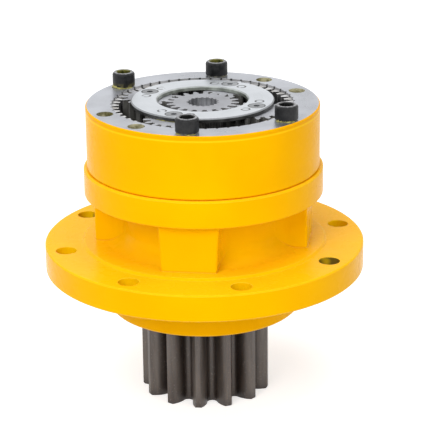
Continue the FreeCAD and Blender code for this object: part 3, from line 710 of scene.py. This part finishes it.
# Ring gear
RING_MATERIALS = (RING_STEEL, RING_ENAMEL, OILY_HOLE, RING_TEETH_STEEL, TOOTH_TOP_STEEL, RECESS_STEEL)
STEEL, PAINT, OILED, FLANKS, TOPS, RECESS = range(len(RING_MATERIALS))


def gap_half_angle(radius):
    """Half of a gap's width, as an angle about the axis, on an involute flank."""
    def involute(angle):
        return math.tan(angle) - angle
    slope = math.acos(PITCH_R * math.cos(PRESSURE_ANGLE) / radius)
    return math.pi / (2 * TEETH) + involute(PRESSURE_ANGLE) - involute(slope) + BACKLASH / radius


def toothing():
    """Radius and angle of each point of the inner outline, gap after gap."""
    flank = [(radius, gap_half_angle(radius)) for radius in FLANK_RADII]
    flank.append((NOTCH_R, flank[-1][1]))
    outline = []
    for k in range(TEETH):
        middle = FIRST_GAP + 2 * math.pi * k / TEETH
        outline += [(radius, middle - half) for radius, half in flank]
        outline += [(radius, middle + half) for radius, half in reversed(flank)]
    return outline


def toothed_wall(bm):
    """Inner wall: toothing up to its sunk tops, and over them the notched wall of the recess."""
    inner = toothing()
    tops_z = FACE_Z - RECESS_DEPTH
    foot = loop(bm, inner, RING_FOOT_Z)
    tips = loop(bm, inner, tops_z)
    corner = [
        tip if radius >= RECESS_R else bm.verts.new(at(RECESS_R, angle, tops_z))
        for (radius, angle), tip in zip(inner, tips)
    ]
    mouth = loop(bm, [(max(radius, RECESS_R), angle) for radius, angle in inner], FACE_Z)
    skirt(bm, foot, tips, FLANKS)
    skirt(bm, tips, corner, TOPS)
    for face in skirt(bm, corner, mouth, RECESS):
        in_notch = face.calc_center_median().to_2d().length > RECESS_R
        if in_notch:
            face.material_index = FLANKS
    return foot, mouth


def painted_wall(bm):
    """Outer wall, with a small edge at the face and at the seam to the casing."""
    foot = [(RING_R - SEAM_EDGE, RING_FOOT_Z), (RING_R, RING_FOOT_Z + SEAM_EDGE)]
    head = [(RING_R, FACE_Z - RING_EDGE), (RING_R - RING_EDGE, FACE_Z)]
    wall = [loop(bm, circle(radius, RING_STEPS), z) for radius, z in foot + head]
    for low, high in zip(wall, wall[1:]):
        skirt(bm, low, high, PAINT)
    return wall[0], wall[-1]


def face_holes(bm):
    """Walls of the eight screw holes; returns their outlines below and above."""
    feet, mouths = [], []
    for angle in SCREW_ANGLES + FREE_HOLE_ANGLES:
        outline = circle(HOLE_R, HOLE_STEPS)
        feet.append(loop(bm, outline, RING_FOOT_Z, screw_place(angle)))
        mouths.append(loop(bm, outline, FACE_Z, screw_place(angle)))
        skirt(bm, feet[-1], mouths[-1], OILED)
    return feet, mouths


def ring_gear_piece():
    """The ring gear with its full recess, in place of the plainer solid."""
    bm = bmesh.new()
    inner_foot, inner_mouth = toothed_wall(bm)
    outer_foot, outer_mouth = painted_wall(bm)
    feet, mouths = face_holes(bm)
    cap(bm, [outer_foot, inner_foot] + feet, STEEL)
    cap(bm, [outer_mouth, inner_mouth] + mouths, STEEL)
    ring = new_piece("toothed_ring", finished_mesh("toothed_ring", bm, RING_MATERIALS), "casing")
    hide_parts("ring_gear")


ring_gear_piece()


# Socket-head screws of the ring gear
def round_row(radius, height, knurl=0.0):
    """Circle of points, with knurls of that depth cut into it."""
    row = []
    for _, angle in circle(radius, SCREW_STEPS):
        wave = 0.5 + 0.5 * math.cos(KNURLS * angle)
        row.append(at(radius - knurl * wave, angle, height))
    return row


def hexagon_row(across_flats, height):
    """Points along a hexagon, as many as a circle of the screw has."""
    row = []
    for inner_radius, angle in circle(0.5 * across_flats, SCREW_STEPS):
        off_flat = angle % (math.pi / 3) - math.pi / 6
        row.append(at(inner_radius / math.cos(off_flat), angle, height))
    return row


def screw_rows():
    """Rows over the outside, from the shank's end to the head's top, and rows down into the socket."""
    outside = [
        round_row(CENTRE_R, -SHANK_LEN),
        round_row(SHANK_R - SHANK_EDGE, -SHANK_LEN),
        round_row(SHANK_R, SHANK_EDGE - SHANK_LEN),
        round_row(SHANK_R, 0.0),
    ]
    outside += [round_row(HEAD_R - inset, rise) for inset, rise in FOOT_INSETS_AND_RISES]
    outside.append(round_row(HEAD_R, KNURLS_FROM_FOOT, KNURL_DEPTH))
    outside.append(round_row(HEAD_R, HEAD_H - KNURLS_FROM_TOP, KNURL_DEPTH))
    outside += [round_row(HEAD_R - inset, HEAD_H - drop) for inset, drop in RIM_INSETS_AND_DROPS]
    socket = [
        round_row(0.5 * SOCKET_AF + SOCKET_EDGE_W, HEAD_H),
        hexagon_row(SOCKET_AF, HEAD_H - SOCKET_EDGE_H),
        hexagon_row(SOCKET_AF, HEAD_H - SOCKET_DEPTH),
        round_row(CENTRE_R, HEAD_H - SOCKET_DEPTH - DRILL_POINT),
    ]
    return outside, socket


def screw_mesh(name, outer, inner):
    """Closed mesh of a screw; its socket has a material of its own."""
    outside, socket = screw_rows()
    bm = bmesh.new()
    rows = [[bm.verts.new(point) for point in row] for row in outside + socket]
    for level, (low, high) in enumerate(zip(rows, rows[1:])):
        skirt(bm, low, high, int(level >= len(outside)))
    bm.faces.new(list(reversed(rows[0])))
    bm.faces.new(rows[-1]).material_index = 1
    return finished_mesh(name, bm, (outer, inner))


def ring_gear_cap_screws():
    """Oil stands in the sockets of the two rear screws and has run down the left one's head."""
    rear = screw_mesh("cap_screw_rear", SCREW_BLACK, OLIVE_SOCKET)
    oiled = screw_mesh("cap_screw_oiled", SCREW_OILED, OLIVE_SOCKET)
    clean = screw_mesh("cap_screw_clean", SCREW_BLACK, BLACK_SOCKET)
    for k, (angle, mesh) in enumerate(zip(SCREW_ANGLES, (rear, oiled, clean, clean))):
        name = "cap_screw_%d" % (k + 1)
        screw = new_piece(name, mesh, "casing", screw_place(angle, FACE_Z), k * TURN_BETWEEN_SCREWS)
        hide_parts("ring_gear_screws")


ring_gear_cap_screws()


# Grease
def bead_swell(share, lumps):
    """Thickness at a share of a bead's length: full in its middle, thin at both ends, lumpy between."""
    number, part_way = divmod(share * (BEAD_LUMPS - 1), 1)
    low, high = lumps[int(number):int(number) + 2]
    ease = 0.5 - 0.5 * math.cos(math.pi * part_way)
    return max(BEAD_THINNEST, math.sin(math.pi * share) ** BEAD_TAPER) * (low + (high - low) * ease)


def bead_section(width, height):
    """Outline of a bead, outwards from what it leans on and upwards from what it lies on."""
    return [
        (-BEAD_LAP, -BEAD_SINK),
        (-BEAD_LAP, height),
        (0.35 * width, 0.75 * height),
        (0.8 * width, 0.3 * height),
        (width, -BEAD_SINK),
    ]


def grease_bead(name, body, arc, width, height, seed):
    """Uneven bead along an arc: its centre, radius, start and end in degrees."""
    centre, radius, start, end = arc
    rng = random.Random(seed)
    lumps = [rng.uniform(0.45, 1.35) for _ in range(BEAD_LUMPS + 1)]
    bm = bmesh.new()
    rows = []
    for k in range(BEAD_STEPS + 1):
        share = k / BEAD_STEPS
        angle = math.radians(start + (end - start) * share)
        swell = bead_swell(share, lumps)
        row = []
        for out, up in bead_section(width * swell, height * swell):
            row.append(bm.verts.new(at(radius + out, angle, centre.z + up, centre)))
        rows.append(row)
    for near, far in zip(rows, rows[1:]):
        skirt(bm, near, far)
    bm.faces.new(rows[0])
    bm.faces.new(list(reversed(rows[-1])))
    bead = new_piece(name, finished_mesh(name, bm, (GREASE,)), body)
    bead.modifiers.new("round", "SUBSURF").render_levels = 2


def grease_traces():
    """Beads at the screws' feet, which ride with the casing, and one under the plate's rim."""
    for k, (screw, start, end, width, height) in enumerate(SCREW_BEADS):
        arc = (screw_place(SCREW_ANGLES[screw], FACE_Z), HEAD_R - FOOT_INSET, start, end)
        grease_bead("screw_grease_%d" % (k + 1), "casing", arc, width, height, FIRST_BEAD_SEED + k)
    start, end, width, height = PLATE_BEAD
    rim_centre = Vector((0, 0, PLATE_LOW.z - PLATE_BEAD_DROP))
    arc = (rim_centre, PLATE_HIGH.x - PLATE_BEAD_INSET, start, end)
    grease_bead("plate_grease", "first_carrier", arc, width, height, PLATE_BEAD_SEED)


grease_traces()


# Camera at the photograph's place
def photo_camera():
    forward = Vector((math.sin(PAN) * math.cos(TILT), math.cos(PAN) * math.cos(TILT), -math.sin(TILT)))
    right = forward.cross(Vector((0, 0, 1))).normalized()
    up = right.cross(forward)
    rolled_right = math.cos(ROLL) * right + math.sin(ROLL) * up
    rolled_up = math.cos(ROLL) * up - math.sin(ROLL) * right
    turn = Matrix.Rotation(AZIMUTH, 3, "Z")
    axes = [turn @ v for v in (rolled_right, rolled_up, -forward)]
    data = bpy.data.cameras.new("photo_camera")
    data.sensor_width = SENSOR
    data.lens = LENS
    data.clip_end = CLIP_END
    camera = bpy.data.objects.new("photo_camera", data)
    bpy.context.scene.collection.objects.link(camera)
    place = turn @ Vector((0, -DISTANCE, HEIGHT))
    camera.matrix_world = Matrix.Translation(place) @ Matrix(axes).transposed().to_4x4()
    bpy.context.scene.camera = camera


photo_camera()


# White studio
def lamp(name, place, size, power):
    """Round soft lamp aimed at the casing; bare steel mirrors the white room, not the lamp."""
    data = bpy.data.lights.new(name, "AREA")
    data.shape = "DISK"
    data.size = size
    data.energy = power
    made = bpy.data.objects.new(name, data)
    made.location = place
    made.rotation_euler = (LAMP_AIM - Vector(place)).to_track_quat("-Z", "Y").to_euler()
    made.visible_glossy = False
    bpy.context.scene.collection.objects.link(made)


def background_rays(tree):
    """One for the rays that should see the white background as it is."""
    path = tree.nodes.new("ShaderNodeLightPath")
    seen = path.outputs["Is Camera Ray"]
    for ray in ("Is Glossy Ray", "Is Transmission Ray"):
        either = tree.nodes.new("ShaderNodeMath")
        either.operation = "MAXIMUM"
        tree.links.new(seen, either.inputs[0])
        tree.links.new(path.outputs[ray], either.inputs[1])
        seen = either.outputs["Value"]
    return seen


def white_room():
    """World that looks white and lights the object more softly."""
    world = bpy.data.worlds.new("studio")
    bpy.context.scene.world = world
    world.use_nodes = True
    tree = world.node_tree
    background = tree.nodes["Background"]
    background.inputs["Color"].default_value = WHITE
    strength = tree.nodes.new("ShaderNodeMapRange")
    strength.inputs["To Min"].default_value = ROOM_LIGHT
    strength.inputs["To Max"].default_value = 1.0
    tree.links.new(background_rays(tree), strength.inputs["Value"])
    tree.links.new(strength.outputs["Result"], background.inputs["Strength"])


def floor():
    """Pale floor that the camera sees as white, and that keeps the object's shadow."""
    s = Shader("white_floor", Base_Color=FLOOR_GREY, Emission_Color=WHITE, Roughness=0.9)
    s.bsdf.inputs["Specular IOR Level"].default_value = 0.1
    glow = s.between(background_rays(s.tree), 0.0, 1.0, 0.0, FLOOR_GLOW)
    s.link(glow, s.bsdf.inputs["Emission Strength"])
    bm = bmesh.new()
    bmesh.ops.create_grid(bm, x_segments=1, y_segments=1, size=FLOOR_HALF_W)
    mesh = bpy.data.meshes.new("studio_floor")
    bm.to_mesh(mesh)
    bm.free()
    mesh.materials.append(s.material)
    made = bpy.data.objects.new("studio_floor", mesh)
    made.location.z = CAD_BOX[0][2]
    bpy.context.scene.collection.objects.link(made)


lamp("key", (-0.8, -2.2, 1.5), size=1.5, power=36)
lamp("fill", (1.9, -1.5, 0.9), size=1.6, power=14)
lamp("top", (-0.2, -0.1, 2.4), size=3.0, power=43)
white_room()
floor()

bpy.context.scene.view_settings.view_transform = "Standard"
